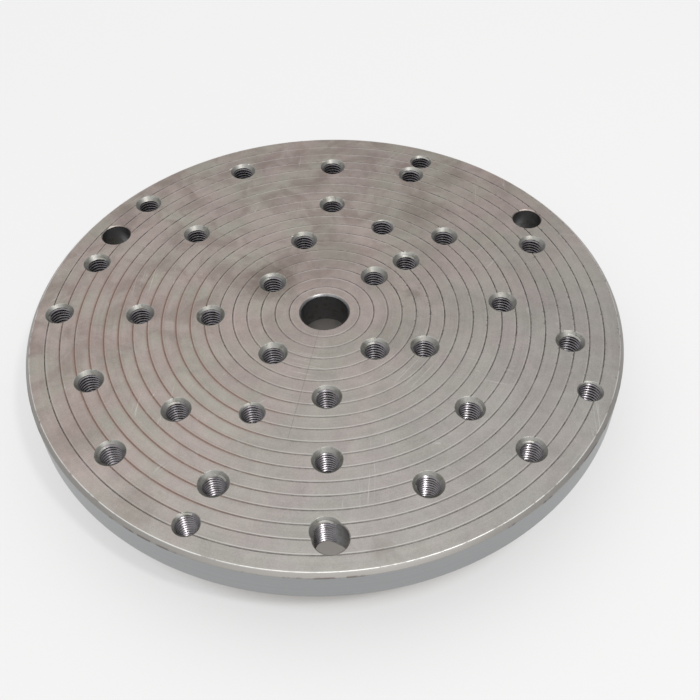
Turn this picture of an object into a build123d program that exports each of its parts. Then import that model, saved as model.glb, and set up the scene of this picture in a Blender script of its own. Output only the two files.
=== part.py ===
"""Low-profile, hand-turned rotary table for a drilling or milling machine.

A round drilled and ringed table plate turns on a hub, which is carried by a thrust needle bearing and a
ball bearing in a low cast base. A knob presses a brass pad against the hub's brake rim to lock it.
Millimetres, +Z up. The origin is on the bench, on the axis that the table turns about.
"""

import os
from math import cos, radians, sin, sqrt

from build123d import *

# ---------------------------------------------------------------- driving dimensions
# Clearances
FIT_GAP = 0.02  # between pieces that seat in each other and turn together
RUN_GAP = 0.05  # between surfaces that slide on each other
OVERRUN = 1.0  # how far a cutting tool runs past the face that it cuts

# Table plate
TABLE_RADIUS = 125.0
TABLE_THICKNESS = 15.0
RIM_CHAMFER = 1.6
LOWER_RIM_CHAMFER = 0.8
CENTRE_BORE_RADIUS = 10.0
CENTRE_CHAMFER = 0.9
RING_COUNT = 18
FIRST_RING_RADIUS = 15.0
RING_STEP = 6.0
RING_WIDTH = 0.5
RING_DEPTH = 0.25

# Holes in the table plate. M10 tapped holes are at tap-drill size.
TAP_DRILL_RADIUS = 4.25
COUNTERSINK_RADIUS = 6.0
DEBURR_RADIUS = 5.2
PLAIN_HOLE_RADIUS = 6.5
PLAIN_HOLE_CIRCLE = 110.3
PLAIN_HOLE_CHAMFER = 0.4
PLAIN_HOLE_COUNT = 3
PLAIN_HOLE_START = 28.9

# Each tapped hole is at (distance from the axis, angle anticlockwise from +X in degrees).
COUNTERSUNK_HOLES = [
    # inner four
    (30.5, 41.7), (29.4, 138.3), (31.2, 225.3), (30.3, 310.9),
    # ring at about 47
    (47.6, 37.6), (47.0, 99.2), (48.5, 178.3), (46.9, 268.9), (46.5, 330.2),
    # eight at about 76
    (76.3, 0.0), (72.0, 37.9), (71.6, 84.8), (79.1, 136.1),
    (78.7, 176.7), (77.3, 219.3), (77.1, 268.5), (78.4, 313.8),
    # pair at about 96
    (95.4, 242.6), (96.7, 290.8),
    # five at about 102
    (102.0, 20.3), (102.0, 63.1), (100.8, 85.4), (100.9, 198.3), (103.2, 346.2),
    # five at about 107
    (106.8, 110.0), (108.0, 159.2), (107.5, 219.3), (107.3, 268.0), (107.5, 313.7),
    # pair near the rim
    (113.1, 136.0), (113.5, 176.2),
]
DEBURRED_HOLES = [
    (60.2, 61.2), (60.8, 240.3),
    (113.4, 62.7), (114.1, 242.4), (114.6, 333.3),
]

# Hub
UNDER_TABLE = 27.0  # from the bench to the table's underside
HUB_DISC_THICKNESS = 7.0
BRAKE_RIM_WIDTH = 16.0
BRAKE_RIM_DEPTH = 19.0
JOURNAL_RADIUS = 27.5
HUB_BORE_RADIUS = 12.0
KEYWAY_WIDTH = 5.0
KEYWAY_DEPTH = 1.5

# Screws and dowels that hold the table to the hub
HUB_SCREW_COUNT = 6
HUB_SCREW_START = 15.0
HUB_SCREW_RADIUS = 3.0
HUB_SCREW_HEAD_RADIUS = 5.0
HUB_SCREW_HEAD_HEIGHT = 6.0
HUB_SCREW_SOCKET_FLATS = 5.0
HUB_SCREW_BITE = 9.0  # length of thread in the table plate
HUB_SCREW_GRIP = 10.0  # thickness of hub under the screw's head
HUB_SCREW_CLEARANCE = 0.3
DOWEL_RADIUS = 3.0
DOWEL_LENGTH = 18.0
DOWEL_START = 105.0
DOWEL_COUNT = 2
BLIND_HOLE_SPARE = 1.5  # room left past the end of a screw or dowel

# Ball bearing, on the journal
BALL_BEARING_SECTION = 8.5  # from its bore to its outside
BALL_BEARING_WIDTH = 9.0
BALL_RADIUS = 2.6
BALL_COUNT = 20
RACE_GROOVE_DEPTH = 0.75
BALL_CAGE_GAP = 0.75  # from the cage to each race, and to each seal's inner side
BEARING_SEAL_THICKNESS = 0.4
BEARING_SEAL_GAP = 0.2

# Thrust needle bearing, round the neck that holds the ball bearing
THRUST_WIDTH = 12.5  # from its bore to its outside
THRUST_WASHER_THICKNESS = 1.0
NEEDLE_RADIUS = 1.5
NEEDLE_END_WALL = 2.25  # from a needle's end to the side of the bearing
NEEDLE_COUNT = 32
NEEDLE_CAGE_WALL = 0.5
NEEDLE_CAGE_HEIGHT = 2.2

# Ring nut and its tab washer
TAB_WASHER_THICKNESS = 1.0
TAB_WASHER_WIDTH = 4.0
RING_NUT_WIDTH = 7.0
RING_NUT_THICKNESS = 4.5
RING_NUT_SLOT_COUNT = 4
RING_NUT_SLOT_WIDTH = 6.0
RING_NUT_SLOT_DEPTH = 2.0

# Base
BASE_RIM_WIDTH = 11.4
BASE_FLOOR = 5.0
BASE_TOP_GAP = 0.8  # between the base's rim and the table's underside
BRAKE_GAP = 0.6  # between the hub's brake rim and the base's rim
NECK_WALL = 3.4
NECK_GAP = 0.6  # from the neck to the needle bearing and to the hub
BOSS_LAND = 3.0  # how far the boss reaches past the needle bearing
BOSS_GAP = 2.5  # between the boss and the hub's brake rim
LIP_WIDTH = 2.4
LIP_THICKNESS = 2.0

# Lugs that the base is bolted down by. The table's plain holes turn over them, to let a key in.
LUG_RADIUS = 8.0
LUG_THICKNESS = 9.0
LUG_ROOT_WIDTH = 34.0
LUG_BOLT_RADIUS = 3.3
LUG_TURN = 60.0  # from a plain hole of the table at rest to the next lug

# Dust seal
SEAL_INSET = 2.4  # from the rim's inner face to the seal's seat
SEAL_WIDTH = 4.0
SEAL_SEAT_DEPTH = 3.0
SEAL_LIP_WIDTH = 1.2
SEAL_TOUCH_GAP = 0.1

# Bottom cover
COVER_LAND = 8.0  # how far the cover reaches past the ball bearing
COVER_THICKNESS = 1.5
GASKET_THICKNESS = 0.3
COVER_SETBACK = 0.2  # keeps the cover off the bench
COVER_SCREW_COUNT = 6
GASKET_INSET = 2.4  # from the ball bearing's outside to the gasket
COVER_SCREW_RADIUS = 1.5
COVER_SCREW_HEAD_RADIUS = 2.75
COVER_SCREW_LENGTH = 7.0
COVER_SCREW_SLOT = 0.7

# Table lock
LOCK_ANGLE = 315.0
LOCK_SCREW_RADIUS = 4.0
LOCK_PAD_RADIUS = 3.9
LOCK_PAD_LENGTH = 6.0
LOCK_BOSS_RADIUS = 8.5
LOCK_BOSS_LENGTH = 6.0
LOCK_HEIGHT = 13.5
KNOB_RADIUS = 11.0
KNOB_LENGTH = 12.0
KNOB_LOBES = 6
KNOB_LOBE_CUT_RADIUS = 3.2
KNOB_LOBE_FILLET = 1.2
KNOB_CHAMFER = 0.6
KNOB_GAP = 3.0  # between the boss and the released knob
KNOB_BUSH_RADIUS = 6.0
KNOB_BUSH_LENGTH = 9.0
KNOB_BUSH_STANDS_OUT = 1.0

# Grease plug
PLUG_ANGLE = 150.0
PLUG_HEIGHT = 13.5
PLUG_RADIUS = 3.0
PLUG_HEAD_RADIUS = 5.0
PLUG_HEAD_HEIGHT = 3.0
PLUG_SPOTFACE = 0.6
PLUG_SOCKET_FLATS = 3.0

# ---------------------------------------------------------------- radii, from the journal outwards
bearing_radius = JOURNAL_RADIUS + BALL_BEARING_SECTION
neck_radius = bearing_radius + NECK_WALL
thrust_inner_radius = neck_radius + NECK_GAP
thrust_outer_radius = thrust_inner_radius + THRUST_WIDTH
boss_radius = thrust_outer_radius + BOSS_LAND
brake_rim_inner_radius = boss_radius + BOSS_GAP
hub_radius = brake_rim_inner_radius + BRAKE_RIM_WIDTH
hub_fixing_circle = hub_radius - BRAKE_RIM_WIDTH / 2
rim_inner_radius = hub_radius + BRAKE_GAP
base_radius = rim_inner_radius + BASE_RIM_WIDTH
seal_inner_radius = rim_inner_radius + SEAL_INSET
seal_outer_radius = seal_inner_radius + SEAL_WIDTH
cover_radius = bearing_radius + COVER_LAND
cover_screw_circle = bearing_radius + GASKET_INSET + (COVER_LAND - GASKET_INSET) / 2
ring_nut_radius = JOURNAL_RADIUS + RING_NUT_WIDTH

# ---------------------------------------------------------------- levels, from the bench up
table_top = UNDER_TABLE + TABLE_THICKNESS
disc_bottom = UNDER_TABLE - HUB_DISC_THICKNESS
brake_rim_bottom = UNDER_TABLE - BRAKE_RIM_DEPTH
upper_washer_bottom = disc_bottom - THRUST_WASHER_THICKNESS
lower_washer_top = upper_washer_bottom - 2 * NEEDLE_RADIUS
boss_top = lower_washer_top - THRUST_WASHER_THICKNESS
neck_top = disc_bottom - NECK_GAP
ball_bearing_top = neck_top - LIP_THICKNESS
ball_bearing_bottom = ball_bearing_top - BALL_BEARING_WIDTH
ring_nut_top = ball_bearing_bottom - TAB_WASHER_THICKNESS
ring_nut_bottom = ring_nut_top - RING_NUT_THICKNESS
cover_recess = COVER_SETBACK + COVER_THICKNESS + GASKET_THICKNESS
base_top = UNDER_TABLE - BASE_TOP_GAP
screw_seat = UNDER_TABLE - HUB_SCREW_GRIP
ball_pitch_radius = (JOURNAL_RADIUS + bearing_radius) / 2
ball_level = ball_bearing_top - BALL_BEARING_WIDTH / 2
inner_race_radius = ball_pitch_radius - BALL_RADIUS + RACE_GROOVE_DEPTH
outer_race_bore = ball_pitch_radius + BALL_RADIUS - RACE_GROOVE_DEPTH


# ---------------------------------------------------------------- helpers
def disc(radius, low, high):
    """An upright cylinder about the table's axis, between two levels."""
    return Pos(0, 0, (low + high) / 2) * Cylinder(radius, high - low)


def ring(inner, outer, low, high):
    return disc(outer, low, high) - disc(inner, low - OVERRUN, high + OVERRUN)


def polar(radius, angle, z=0.0):
    return Pos(radius * cos(radians(angle)), radius * sin(radians(angle)), z)


def upright(place, radius, low, high):
    """An upright cylinder at a place, between two levels."""
    return place * Pos(0, 0, (low + high) / 2) * Cylinder(radius, high - low)


def frustum(place, low_radius, high_radius, low, high):
    return place * Pos(0, 0, (low + high) / 2) * Cone(low_radius, high_radius, high - low)


def radial(angle, level, radius, start, end):
    """A cylinder that lies along a radius of the table, between two distances from its axis."""
    return Rot(0, 0, angle) * Pos((start + end) / 2, 0, level) * Rot(0, 90, 0) * Cylinder(radius, end - start)


def hexagon(flats, length):
    return extrude(RegularPolygon(flats / sqrt(3), 6), length)


def revolved(points):
    """A solid of revolution about the table's axis, from its half section in the XZ plane."""
    section = Plane.XZ * make_face(Polyline(*points, close=True))
    return revolve(section, Axis.Z)


def angles(count, start=0.0):
    return [start + 360.0 * i / count for i in range(count)]


def write(name, *solids):
    body = solids[0] if len(solids) == 1 else Compound(children=list(solids))
    export_step(body, f"parts/{name}.step")


# ---------------------------------------------------------------- table plate
def ring_groove(radius):
    """A shallow V turned in the top face."""
    half = RING_WIDTH / 2
    return [(radius + half, table_top), (radius, table_top - RING_DEPTH), (radius - half, table_top)]


def tapped_hole(distance, angle, mouth_radius):
    """The cutter for one tapped hole: tap drill, the mouth's countersink and a deburred lower edge."""
    place = polar(distance, angle)
    mouth = mouth_radius - TAP_DRILL_RADIUS
    burr = DEBURR_RADIUS - TAP_DRILL_RADIUS
    drill = upright(place, TAP_DRILL_RADIUS, UNDER_TABLE - OVERRUN, table_top + OVERRUN)
    top = frustum(place, TAP_DRILL_RADIUS, mouth_radius, table_top - mouth, table_top)
    foot = frustum(place, DEBURR_RADIUS, TAP_DRILL_RADIUS, UNDER_TABLE, UNDER_TABLE + burr)
    return [drill, top, foot]


def plain_hole(angle):
    place = polar(PLAIN_HOLE_CIRCLE, angle)
    wide = PLAIN_HOLE_RADIUS + PLAIN_HOLE_CHAMFER
    return [
        upright(place, PLAIN_HOLE_RADIUS, UNDER_TABLE - OVERRUN, table_top + OVERRUN),
        frustum(place, PLAIN_HOLE_RADIUS, wide, table_top - PLAIN_HOLE_CHAMFER, table_top),
    ]


def table_plate():
    section = [(CENTRE_BORE_RADIUS, UNDER_TABLE), (TABLE_RADIUS - LOWER_RIM_CHAMFER, UNDER_TABLE)]
    section += [(TABLE_RADIUS, UNDER_TABLE + LOWER_RIM_CHAMFER), (TABLE_RADIUS, table_top - RIM_CHAMFER)]
    section += [(TABLE_RADIUS - RIM_CHAMFER, table_top)]
    for i in reversed(range(RING_COUNT)):
        section += ring_groove(FIRST_RING_RADIUS + i * RING_STEP)
    section += [(CENTRE_BORE_RADIUS + CENTRE_CHAMFER, table_top)]
    section += [(CENTRE_BORE_RADIUS, table_top - CENTRE_CHAMFER)]
    cutters = []
    for distance, angle in COUNTERSUNK_HOLES:
        cutters += tapped_hole(distance, angle, COUNTERSINK_RADIUS)
    for distance, angle in DEBURRED_HOLES:
        cutters += tapped_hole(distance, angle, DEBURR_RADIUS)
    for angle in angles(PLAIN_HOLE_COUNT, PLAIN_HOLE_START):
        cutters += plain_hole(angle)
    for angle in angles(HUB_SCREW_COUNT, HUB_SCREW_START):
        depth = UNDER_TABLE + HUB_SCREW_BITE + BLIND_HOLE_SPARE
        place = polar(hub_fixing_circle, angle)
        cutters.append(upright(place, HUB_SCREW_RADIUS + FIT_GAP, UNDER_TABLE - OVERRUN, depth))
    for angle in angles(DOWEL_COUNT, DOWEL_START):
        depth = UNDER_TABLE + DOWEL_LENGTH / 2 + BLIND_HOLE_SPARE
        place = polar(hub_fixing_circle, angle)
        cutters.append(upright(place, DOWEL_RADIUS + FIT_GAP, UNDER_TABLE - OVERRUN, depth))
    return revolved(section) - cutters


# ---------------------------------------------------------------- hub and its fixings
def hub():
    body = disc(hub_radius, brake_rim_bottom, UNDER_TABLE)
    body -= disc(brake_rim_inner_radius, brake_rim_bottom - OVERRUN, disc_bottom)
    body += disc(JOURNAL_RADIUS, ring_nut_bottom, disc_bottom)
    body -= disc(HUB_BORE_RADIUS, ring_nut_bottom - OVERRUN, UNDER_TABLE + OVERRUN)
    keyway_length = ball_bearing_bottom - ring_nut_bottom
    keyway = Box(2 * KEYWAY_DEPTH, KEYWAY_WIDTH, keyway_length + OVERRUN)
    body -= Pos(JOURNAL_RADIUS, 0, ball_bearing_bottom - (keyway_length + OVERRUN) / 2) * keyway
    for angle in angles(HUB_SCREW_COUNT, HUB_SCREW_START):
        place = polar(hub_fixing_circle, angle)
        counterbore = HUB_SCREW_HEAD_RADIUS + HUB_SCREW_CLEARANCE
        body -= upright(place, counterbore, brake_rim_bottom - OVERRUN, screw_seat)
        shank_hole = HUB_SCREW_RADIUS + HUB_SCREW_CLEARANCE
        body -= upright(place, shank_hole, brake_rim_bottom, UNDER_TABLE + OVERRUN)
    for angle in angles(DOWEL_COUNT, DOWEL_START):
        floor = UNDER_TABLE - DOWEL_LENGTH / 2
        body -= upright(polar(hub_fixing_circle, angle), DOWEL_RADIUS + FIT_GAP, floor, UNDER_TABLE + OVERRUN)
    return body


def hub_screw(angle):
    place = polar(hub_fixing_circle, angle)
    head_bottom = screw_seat - HUB_SCREW_HEAD_HEIGHT
    screw = upright(place, HUB_SCREW_HEAD_RADIUS, head_bottom, screw_seat)
    screw += upright(place, HUB_SCREW_RADIUS, screw_seat, UNDER_TABLE + HUB_SCREW_BITE)
    socket = hexagon(HUB_SCREW_SOCKET_FLATS, HUB_SCREW_HEAD_HEIGHT / 2)
    return screw - place * Pos(0, 0, head_bottom) * socket


def hub_dowel(angle):
    place = polar(hub_fixing_circle, angle)
    half = DOWEL_LENGTH / 2
    return upright(place, DOWEL_RADIUS, UNDER_TABLE - half, UNDER_TABLE + half)


# ---------------------------------------------------------------- thrust needle bearing
def thrust_washer(low):
    return ring(thrust_inner_radius, thrust_outer_radius, low, low + THRUST_WASHER_THICKNESS)


def needle(angle, extra=0.0):
    start = thrust_inner_radius + NEEDLE_END_WALL - extra
    end = thrust_outer_radius - NEEDLE_END_WALL + extra
    level = lower_washer_top + NEEDLE_RADIUS
    return radial(angle, level, NEEDLE_RADIUS - FIT_GAP + extra, start, end)


def needle_cage():
    level = lower_washer_top + NEEDLE_RADIUS
    half = NEEDLE_CAGE_HEIGHT / 2
    inner = thrust_inner_radius + NEEDLE_CAGE_WALL
    outer = thrust_outer_radius - NEEDLE_CAGE_WALL
    cage = ring(inner, outer, level - half, level + half)
    return cage - [needle(angle, RUN_GAP) for angle in angles(NEEDLE_COUNT)]


# ---------------------------------------------------------------- ball bearing
def race(inner, outer):
    groove = Pos(0, 0, ball_level) * Torus(ball_pitch_radius, BALL_RADIUS + RUN_GAP)
    return ring(inner, outer, ball_bearing_bottom, ball_bearing_top) - groove


def ball(angle):
    return polar(ball_pitch_radius, angle, ball_level) * Sphere(BALL_RADIUS)


def ball_cage():
    half_height = BALL_BEARING_WIDTH / 2 - BEARING_SEAL_THICKNESS - BALL_CAGE_GAP
    inner = inner_race_radius + BALL_CAGE_GAP
    outer = outer_race_bore - BALL_CAGE_GAP
    cage = ring(inner, outer, ball_level - half_height, ball_level + half_height)
    pocket = BALL_RADIUS + RUN_GAP
    for angle in angles(BALL_COUNT):
        cage -= radial(angle, ball_level, pocket, inner - OVERRUN, outer + OVERRUN)
    return cage


def bearing_seal(low):
    inner = inner_race_radius + BEARING_SEAL_GAP
    return ring(inner, outer_race_bore - FIT_GAP, low, low + BEARING_SEAL_THICKNESS)


# ---------------------------------------------------------------- ring nut and tab washer
def tab_washer():
    washer = ring(JOURNAL_RADIUS + FIT_GAP, JOURNAL_RADIUS + TAB_WASHER_WIDTH, ring_nut_top, ball_bearing_bottom)
    tab_depth = KEYWAY_DEPTH - RUN_GAP
    tab = Box(2 * tab_depth, KEYWAY_WIDTH - 2 * RUN_GAP, TAB_WASHER_THICKNESS)
    washer += Pos(JOURNAL_RADIUS, 0, ring_nut_top + TAB_WASHER_THICKNESS / 2) * tab
    return washer


def ring_nut():
    nut = ring(JOURNAL_RADIUS + FIT_GAP, ring_nut_radius, ring_nut_bottom, ring_nut_top)
    slot = Box(2 * RING_NUT_SLOT_DEPTH, RING_NUT_SLOT_WIDTH, RING_NUT_THICKNESS + 2 * OVERRUN)
    middle = (ring_nut_bottom + ring_nut_top) / 2
    for angle in angles(RING_NUT_SLOT_COUNT, 45.0):
        nut -= Rot(0, 0, angle) * Pos(ring_nut_radius, 0, middle) * slot
    return nut


# ---------------------------------------------------------------- base
def lug(angle):
    """One lug: a tongue from under the base's rim out to a rounded end about its bolt."""
    tip = Pos(PLAIN_HOLE_CIRCLE, 0) * Circle(LUG_RADIUS)
    root = Pos(base_radius / 2, 0) * Rectangle(2 * LUG_RADIUS, LUG_ROOT_WIDTH)
    tongue = extrude(make_hull(Sketch(children=[tip, root]).edges()), LUG_THICKNESS)
    return Rot(0, 0, angle) * tongue


def base():
    body = disc(base_radius, 0, base_top)
    for angle in angles(PLAIN_HOLE_COUNT, PLAIN_HOLE_START + LUG_TURN):
        body += lug(angle)
    body += radial(LOCK_ANGLE, LOCK_HEIGHT, LOCK_BOSS_RADIUS, rim_inner_radius, base_radius + LOCK_BOSS_LENGTH)
    body -= disc(rim_inner_radius, boss_top, base_top + OVERRUN)
    body -= ring(boss_radius, rim_inner_radius, BASE_FLOOR, base_top)
    body += disc(neck_radius, boss_top, neck_top)
    body -= disc(bearing_radius + FIT_GAP, -OVERRUN, ball_bearing_top)
    body -= disc(bearing_radius - LIP_WIDTH, ball_bearing_top, neck_top + OVERRUN)
    body -= disc(cover_radius + FIT_GAP, -OVERRUN, cover_recess)
    body -= ring(seal_inner_radius, seal_outer_radius, base_top - SEAL_SEAT_DEPTH, base_top + OVERRUN)
    for angle in angles(PLAIN_HOLE_COUNT, PLAIN_HOLE_START + LUG_TURN):
        bolt_place = polar(PLAIN_HOLE_CIRCLE, angle)
        body -= upright(bolt_place, LUG_BOLT_RADIUS, -OVERRUN, LUG_THICKNESS + OVERRUN)
    for angle in angles(COVER_SCREW_COUNT):
        depth = COVER_SCREW_LENGTH + BLIND_HOLE_SPARE
        body -= upright(polar(cover_screw_circle, angle), COVER_SCREW_RADIUS + FIT_GAP, -OVERRUN, depth)
    lock_end = base_radius + LOCK_BOSS_LENGTH + OVERRUN
    body -= radial(LOCK_ANGLE, LOCK_HEIGHT, LOCK_SCREW_RADIUS + RUN_GAP, hub_radius, lock_end)
    seat = base_radius - PLUG_SPOTFACE
    body -= radial(PLUG_ANGLE, PLUG_HEIGHT, PLUG_RADIUS + FIT_GAP, hub_radius, base_radius)
    body -= radial(PLUG_ANGLE, PLUG_HEIGHT, PLUG_HEAD_RADIUS + FIT_GAP, seat, base_radius + OVERRUN)
    return body


def dust_seal():
    """A rubber ring whose lip stands up from its seat towards the table."""
    low = base_top - SEAL_SEAT_DEPTH
    inner = seal_inner_radius + FIT_GAP
    outer = seal_outer_radius - FIT_GAP
    high = UNDER_TABLE - SEAL_TOUCH_GAP
    return revolved(
        [(inner, low), (outer, low), (outer, base_top), (outer - SEAL_LIP_WIDTH, high), (inner, base_top)]
    )


def grease_plug():
    seat = base_radius - PLUG_SPOTFACE
    plug = radial(PLUG_ANGLE, PLUG_HEIGHT, PLUG_RADIUS, rim_inner_radius, seat)
    plug += radial(PLUG_ANGLE, PLUG_HEIGHT, PLUG_HEAD_RADIUS, seat, seat + PLUG_HEAD_HEIGHT)
    socket = Rot(0, 90, 0) * hexagon(PLUG_SOCKET_FLATS, PLUG_HEAD_HEIGHT)
    return plug - Rot(0, 0, PLUG_ANGLE) * Pos(seat + PLUG_HEAD_HEIGHT / 2, 0, PLUG_HEIGHT) * socket


# ---------------------------------------------------------------- bottom cover
def cover_gasket():
    low = COVER_SETBACK + COVER_THICKNESS
    gasket = ring(bearing_radius + GASKET_INSET, cover_radius, low, cover_recess)
    hole = COVER_SCREW_RADIUS + RUN_GAP
    for angle in angles(COVER_SCREW_COUNT):
        gasket -= upright(polar(cover_screw_circle, angle), hole, 0, cover_recess + OVERRUN)
    return gasket


def bottom_cover():
    top = COVER_SETBACK + COVER_THICKNESS
    cover = ring(HUB_BORE_RADIUS, cover_radius, COVER_SETBACK, top)
    head = COVER_SCREW_HEAD_RADIUS + FIT_GAP
    hole = COVER_SCREW_RADIUS + FIT_GAP
    for angle in angles(COVER_SCREW_COUNT):
        place = polar(cover_screw_circle, angle)
        cover -= upright(place, hole, 0, top + OVERRUN)
        cover -= frustum(place, head, hole, COVER_SETBACK, COVER_SETBACK + head - hole)
    return cover


def cover_screw(angle):
    place = polar(cover_screw_circle, angle)
    cone = COVER_SCREW_HEAD_RADIUS - COVER_SCREW_RADIUS
    screw = frustum(place, COVER_SCREW_HEAD_RADIUS, COVER_SCREW_RADIUS, COVER_SETBACK, COVER_SETBACK + cone)
    screw += upright(place, COVER_SCREW_RADIUS, COVER_SETBACK + cone, COVER_SCREW_LENGTH)
    slot = Box(3 * COVER_SCREW_HEAD_RADIUS, COVER_SCREW_SLOT, COVER_SCREW_SLOT)
    return screw - place * Pos(0, 0, COVER_SETBACK) * slot


# ---------------------------------------------------------------- table lock
pad_end = rim_inner_radius + LOCK_PAD_LENGTH
knob_start = base_radius + LOCK_BOSS_LENGTH + KNOB_GAP
knob_end = knob_start + KNOB_LENGTH


def lock_pad():
    return radial(LOCK_ANGLE, LOCK_HEIGHT, LOCK_PAD_RADIUS, rim_inner_radius, pad_end)


def lock_screw():
    return radial(LOCK_ANGLE, LOCK_HEIGHT, LOCK_SCREW_RADIUS, pad_end + FIT_GAP, knob_start + KNOB_BUSH_LENGTH)


def knob_bush():
    start = knob_start - KNOB_BUSH_STANDS_OUT
    end = knob_start + KNOB_BUSH_LENGTH
    bush = radial(LOCK_ANGLE, LOCK_HEIGHT, KNOB_BUSH_RADIUS, start, end)
    return bush - radial(LOCK_ANGLE, LOCK_HEIGHT, LOCK_SCREW_RADIUS + FIT_GAP, start - OVERRUN, end + OVERRUN)


def lock_knob():
    """A lobed hand knob, moulded round its bush."""
    star = Circle(KNOB_RADIUS)
    for angle in angles(KNOB_LOBES):
        star -= polar(KNOB_RADIUS + KNOB_LOBE_CUT_RADIUS / 2, angle) * Circle(KNOB_LOBE_CUT_RADIUS)
    knob = fillet(extrude(star, KNOB_LENGTH).edges().filter_by(Axis.Z), KNOB_LOBE_FILLET)
    knob = chamfer(knob.edges().group_by(Axis.Z)[-1], KNOB_CHAMFER)
    knob -= Pos(0, 0, KNOB_BUSH_LENGTH / 2) * Cylinder(KNOB_BUSH_RADIUS + FIT_GAP, KNOB_BUSH_LENGTH)
    return Rot(0, 0, LOCK_ANGLE) * Pos(knob_start, 0, LOCK_HEIGHT) * Rot(0, 90, 0) * knob


# ---------------------------------------------------------------- build
os.makedirs("parts", exist_ok=True)

write("table_plate", table_plate())
write("hub", hub())
write("hub_screws", *[hub_screw(a) for a in angles(HUB_SCREW_COUNT, HUB_SCREW_START)])
write("hub_dowels", *[hub_dowel(a) for a in angles(DOWEL_COUNT, DOWEL_START)])
write("thrust_washer_upper", thrust_washer(upper_washer_bottom))
write("thrust_washer_lower", thrust_washer(boss_top))
write("needle_cage", needle_cage())
write("thrust_needles", *[needle(a) for a in angles(NEEDLE_COUNT)])
write("bearing_inner_race", race(JOURNAL_RADIUS + FIT_GAP, inner_race_radius))
write("bearing_outer_race", race(outer_race_bore, bearing_radius))
write("ball_cage", ball_cage())
write("bearing_balls", *[ball(a) for a in angles(BALL_COUNT)])
write("bearing_seals", bearing_seal(ball_bearing_bottom), bearing_seal(ball_bearing_top - BEARING_SEAL_THICKNESS))
write("tab_washer", tab_washer())
write("ring_nut", ring_nut())
write("base", base())
write("dust_seal", dust_seal())
write("grease_plug", grease_plug())
write("cover_gasket", cover_gasket())
write("bottom_cover", bottom_cover())
write("cover_screws", *[cover_screw(a) for a in angles(COVER_SCREW_COUNT)])
write("lock_pad", lock_pad())
write("lock_screw", lock_screw())
write("knob_bush", knob_bush())
write("lock_knob", lock_knob())
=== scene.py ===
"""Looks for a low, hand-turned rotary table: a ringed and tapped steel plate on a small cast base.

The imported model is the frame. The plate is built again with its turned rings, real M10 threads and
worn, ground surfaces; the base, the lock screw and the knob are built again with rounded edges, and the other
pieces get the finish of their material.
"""

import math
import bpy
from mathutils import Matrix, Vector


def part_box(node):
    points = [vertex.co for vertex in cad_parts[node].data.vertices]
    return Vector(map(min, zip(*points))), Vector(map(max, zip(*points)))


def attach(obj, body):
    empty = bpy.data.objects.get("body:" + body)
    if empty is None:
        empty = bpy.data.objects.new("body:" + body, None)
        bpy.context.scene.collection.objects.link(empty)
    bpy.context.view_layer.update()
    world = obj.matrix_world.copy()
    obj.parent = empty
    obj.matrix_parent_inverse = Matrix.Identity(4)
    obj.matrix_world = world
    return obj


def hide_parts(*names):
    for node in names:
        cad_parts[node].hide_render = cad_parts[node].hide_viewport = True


bl_info = {
    "name": "Rotary table looks",
    "version": (1, 0, 0),
    "blender": (4, 5, 0),
    "location": "3D View > Sidebar > Rotary table",
    "description": "Builds the visible pieces of a low rotary table round its packed model",
    "category": "Add Mesh",
}

import bpy
import numpy as np
from mathutils import Matrix, Vector

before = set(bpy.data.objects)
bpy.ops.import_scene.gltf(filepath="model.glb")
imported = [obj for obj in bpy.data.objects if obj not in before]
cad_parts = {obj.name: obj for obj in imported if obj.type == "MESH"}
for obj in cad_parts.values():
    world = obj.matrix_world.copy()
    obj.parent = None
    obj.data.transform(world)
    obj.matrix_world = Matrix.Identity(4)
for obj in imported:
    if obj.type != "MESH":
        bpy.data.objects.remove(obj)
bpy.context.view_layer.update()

MM = 0.001
PLATE_LOW, PLATE_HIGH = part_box("table_plate")
TABLE_TOP = PLATE_HIGH[2] / MM
TABLE_UNDER = PLATE_LOW[2] / MM
TABLE_RADIUS = PLATE_HIGH[0] / MM


# ---------------------------------------------------------------- what a user would change
class PlateSettings(bpy.types.PropertyGroup):
    """Sizes and colours of the table plate."""

    ring_first: bpy.props.FloatProperty(
        name="First ring", description="Radius of the innermost turned ring", default=0.015, unit="LENGTH"
    )
    ring_step: bpy.props.FloatProperty(
        name="Ring step", description="Distance from one turned ring to the next",
        default=0.006, unit="LENGTH",
    )
    ring_count: bpy.props.IntProperty(name="Rings", description="Number of turned rings", default=18)
    ring_width: bpy.props.FloatProperty(
        name="Ring width", description="Width of each V groove at the face", default=0.0005, unit="LENGTH"
    )
    ring_depth: bpy.props.FloatProperty(
        name="Ring depth", description="Depth of each V groove", default=0.00025, unit="LENGTH"
    )
    thread_major: bpy.props.FloatProperty(
        name="Thread radius", description="Outer radius of the tapped thread", default=0.005, unit="LENGTH"
    )
    thread_pitch: bpy.props.FloatProperty(
        name="Thread pitch", description="Pitch of the tapped thread", default=0.0015, unit="LENGTH"
    )
    face_colour: bpy.props.FloatVectorProperty(
        name="Ground face", description="Colour of the ground steel face",
        default=(0.284, 0.254, 0.232), subtype="COLOR",
    )
    rim_colour: bpy.props.FloatVectorProperty(
        name="Rim", description="Colour of the turned rim", default=(0.335, 0.34, 0.345), subtype="COLOR"
    )
    rust_colour: bpy.props.FloatVectorProperty(
        name="Rust", description="Colour of old rust in the rings",
        default=(0.105, 0.055, 0.04), subtype="COLOR",
    )
    grime_colour: bpy.props.FloatVectorProperty(
        name="Grime", description="Colour of oil and grime in the rings",
        default=(0.05, 0.045, 0.042), subtype="COLOR",
    )


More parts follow.
